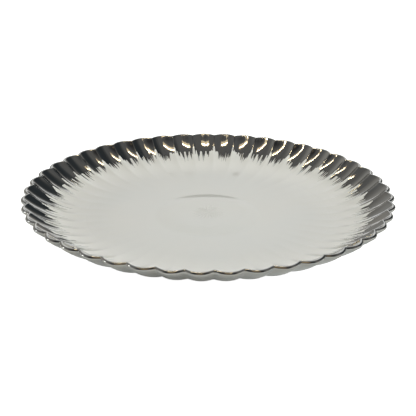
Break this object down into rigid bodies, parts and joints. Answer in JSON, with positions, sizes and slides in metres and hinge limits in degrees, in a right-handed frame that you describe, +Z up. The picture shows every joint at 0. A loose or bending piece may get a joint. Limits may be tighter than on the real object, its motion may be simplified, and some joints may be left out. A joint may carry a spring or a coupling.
{
  "type": "offering plate",
  "caption": "Wide shallow round plate in white glazed ceramic with a fluted wall, a scalloped lip and a brushed silver lustre rim, for passing or displaying offerings.",
  "frame": {"origin": "on the plate's axis, in the plane that the foot ring stands on", "axes": "+Z up out of the well along the plate's axis; +Y towards a ridge between two flutes; -Y towards the middle of a flute"},
  "size_m": [0.3598, 0.3596, 0.032],
  "materials": {
    "white_glaze": "glossy warm white glaze, bare biscuit on the foot ring's standing face",
    "silver_lustre": "fired silver lustre, mirror bright, with hand brushed edges"
  },
  "bodies": {
    "root": {"plate_body": "white_glaze", "rim_lustre": "silver_lustre"}
  },
  "joints": []
}
